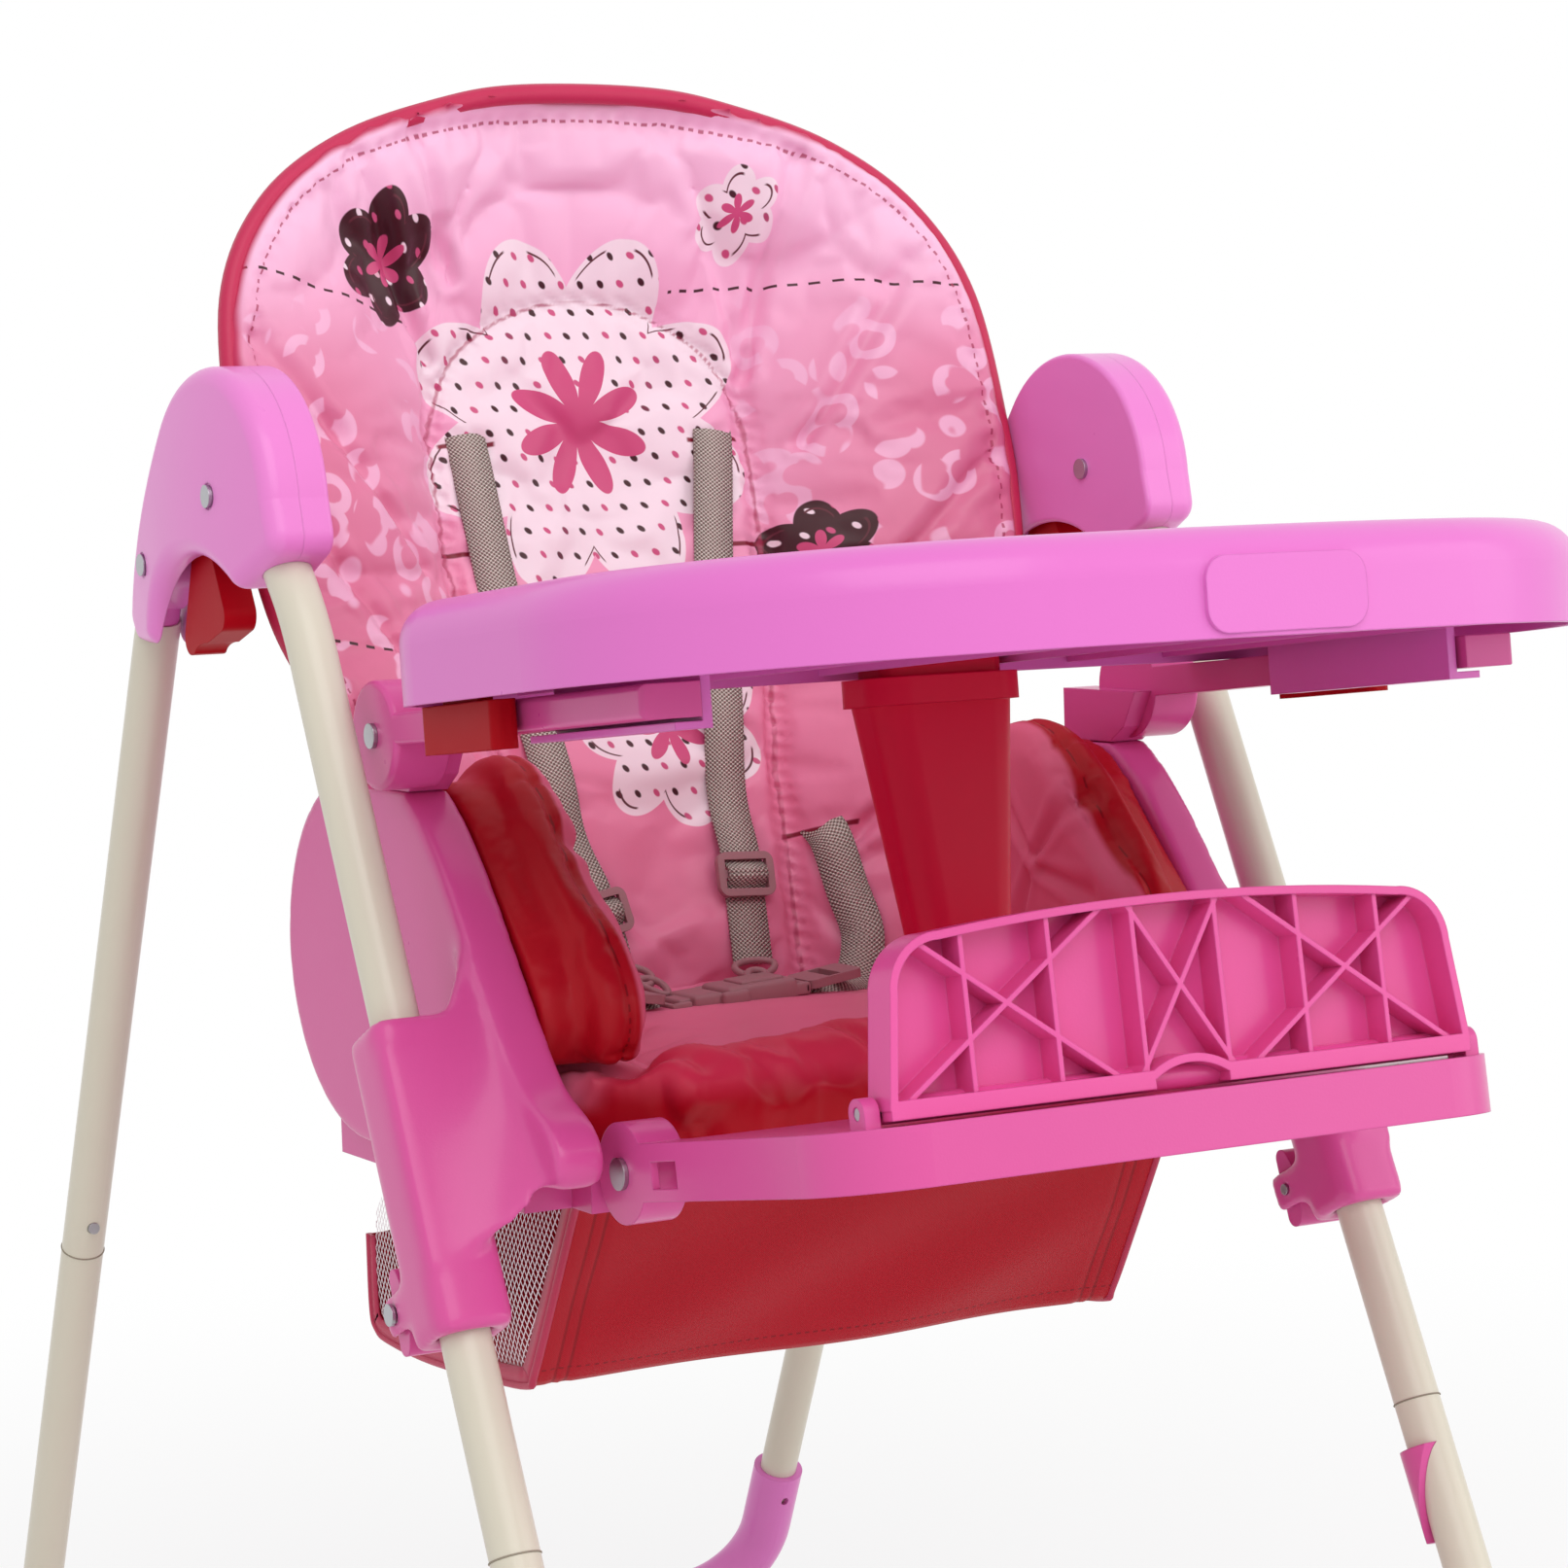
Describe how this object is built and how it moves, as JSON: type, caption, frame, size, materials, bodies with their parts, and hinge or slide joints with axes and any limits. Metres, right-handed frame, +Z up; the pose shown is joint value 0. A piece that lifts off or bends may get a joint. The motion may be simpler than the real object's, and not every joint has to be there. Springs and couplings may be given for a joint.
{
  "type": "baby high chair",
  "caption": "Folding baby high chair: tubular legs joined at side hubs, a height-adjustable padded seat with reclining back and harness, sliding tray, swing-down legrest and basket.",
  "frame": {"origin": "on the floor, under the middle of the chair's box (tray front to rear feet, side to side)", "axes": "+Z up, +X to the child's left, the child faces -Y towards the tray's front"},
  "size_m": [0.5866, 1.0422, 1.0354],
  "materials": {
    "tube_cream": "satin powder coat",
    "steel": "plated",
    "hub_pink": "glossy moulding",
    "seat_pink": "glossy moulding",
    "tray_pink": "glossy moulding",
    "rose_plastic": "glossy moulding",
    "red_plastic": "glossy moulding",
    "elbow_plastic": "glossy moulding",
    "foot_rubber": "matt",
    "pad_pink": "soft vinyl with a low sheen",
    "pad_crimson": "soft vinyl with a low sheen",
    "basket_cloth": "woven cloth",
    "webbing": "woven webbing",
    "buckle_plastic": "satin moulding"
  },
  "bodies": {
    "front_frame": {"front_upper_tube_l": "tube_cream", "front_upper_tube_r": "tube_cream", "front_lower_tube_l": "tube_cream", "front_lower_tube_r": "tube_cream", "front_snap_buttons": "steel", "front_elbows": "elbow_plastic", "front_crossbar": "tube_cream", "front_foot_pads": "foot_rubber", "leg_clips": "seat_pink", "hub_outer_l": "hub_pink", "hub_outer_r": "hub_pink", "hub_inner_l": "hub_pink", "hub_inner_r": "hub_pink", "hub_screws": "steel", "fold_pivot_screws": "steel", "fold_lever_pins": "steel"},
    "rear_frame": {"rear_upper_tube_l": "tube_cream", "rear_upper_tube_r": "tube_cream", "rear_lower_tube_l": "tube_cream", "rear_lower_tube_r": "tube_cream", "rear_snap_buttons": "steel", "rear_knuckles": "elbow_plastic", "rear_elbows": "elbow_plastic", "rear_crossbar": "tube_cream", "rear_foot_pads": "foot_rubber"},
    "fold_lever_l": {"fold_lever_l": "red_plastic"},
    "fold_lever_r": {"fold_lever_r": "red_plastic"},
    "seat": {"side_panel_l": "seat_pink", "side_panel_r": "seat_pink", "height_rivets": "steel", "seat_pan": "seat_pink", "seat_cushion": "pad_crimson", "side_bolster_l": "pad_crimson", "side_bolster_r": "pad_crimson", "armrest_l": "seat_pink", "armrest_r": "seat_pink", "armrest_rivets": "steel", "basket": "basket_cloth", "buckle": "buckle_plastic", "buckle_adjusters": "buckle_plastic", "waist_straps": "webbing", "crotch_strap": "webbing", "recline_pins": "steel", "legrest_pins": "steel"},
    "height_lever_l": {"height_lever_l": "seat_pink"},
    "height_lever_r": {"height_lever_r": "seat_pink"},
    "backrest": {"back_shell": "seat_pink", "back_cushion": "pad_pink", "recline_handle_rod": "steel", "shoulder_straps": "webbing", "strap_sliders": "buckle_plastic"},
    "recline_handle": {"recline_handle": "red_plastic"},
    "legrest": {"legrest": "seat_pink", "footplate_rod": "steel"},
    "footplate": {"footplate": "rose_plastic"},
    "tray": {"tray": "tray_pink", "crotch_post": "red_plastic"},
    "tray_latch_l": {"tray_latch_l": "red_plastic"},
    "tray_latch_r": {"tray_latch_r": "red_plastic"}
  },
  "joints": [
    {"name": "fold", "type": "hinge", "parent": "front_frame", "child": "rear_frame", "pos_m": [0, 0.12744, 0.772], "axis": [-1, 0, 0], "range_deg": [0, 48]},
    {"name": "fold_lever_l_squeeze", "type": "hinge", "parent": "front_frame", "child": "fold_lever_l", "pos_m": [0.266, 0.07544, 0.786], "axis": [-1, 0, 0], "range_deg": [0, 10], "stiffness_Nm_per_rad": 0.8, "springref_deg": -8.59},
    {"name": "fold_lever_r_squeeze", "type": "hinge", "parent": "front_frame", "child": "fold_lever_r", "pos_m": [-0.266, 0.07544, 0.786], "axis": [-1, 0, 0], "range_deg": [0, 10], "stiffness_Nm_per_rad": 0.8, "springref_deg": -8.59},
    {"name": "seat_height", "type": "slide", "parent": "front_frame", "child": "seat", "axis": [0, -0.4363, -0.8998], "range_m": [-0.1, 0.115]},
    {"name": "height_lever_l_squeeze", "type": "hinge", "parent": "seat", "child": "height_lever_l", "pos_m": [0.266, -0.17071, 0.41033], "axis": [1, 0, 0], "range_deg": [0, 8], "stiffness_Nm_per_rad": 0.8, "springref_deg": -8.59},
    {"name": "height_lever_r_squeeze", "type": "hinge", "parent": "seat", "child": "height_lever_r", "pos_m": [-0.266, -0.17071, 0.41033], "axis": [1, 0, 0], "range_deg": [0, 8], "stiffness_Nm_per_rad": 0.8, "springref_deg": -8.59},
    {"name": "recline", "type": "hinge", "parent": "seat", "child": "backrest", "pos_m": [0, 0.04744, 0.522], "axis": [-1, 0, 0], "range_deg": [0, 30]},
    {"name": "recline_handle_pull", "type": "hinge", "parent": "backrest", "child": "recline_handle", "pos_m": [0, 0.23101, 0.89288], "axis": [-1, 0, 0], "range_deg": [0, 12], "stiffness_Nm_per_rad": 0.8, "springref_deg": -8.59},
    {"name": "legrest_swing", "type": "hinge", "parent": "seat", "child": "legrest", "pos_m": [0, -0.22656, 0.476], "axis": [1, 0, 0], "range_deg": [0, 95]},
    {"name": "footplate_fold", "type": "hinge", "parent": "legrest", "child": "footplate", "pos_m": [0, -0.42495, 0.52796], "axis": [-1, 0, 0], "range_deg": [0, 85]},
    {"name": "tray_slide", "type": "slide", "parent": "seat", "child": "tray", "axis": [0, -0.9965, 0.0837], "range_m": [-0.02, 0.07]},
    {"name": "tray_latch_l_pull", "type": "slide", "parent": "tray", "child": "tray_latch_l", "axis": [1, 0, 0], "range_m": [0, 0.004], "stiffness_N_per_m": 600, "springref_m": -0.003},
    {"name": "tray_latch_r_pull", "type": "slide", "parent": "tray", "child": "tray_latch_r", "axis": [-1, 0, 0], "range_m": [0, 0.004], "stiffness_N_per_m": 600, "springref_m": -0.003}
  ]
}
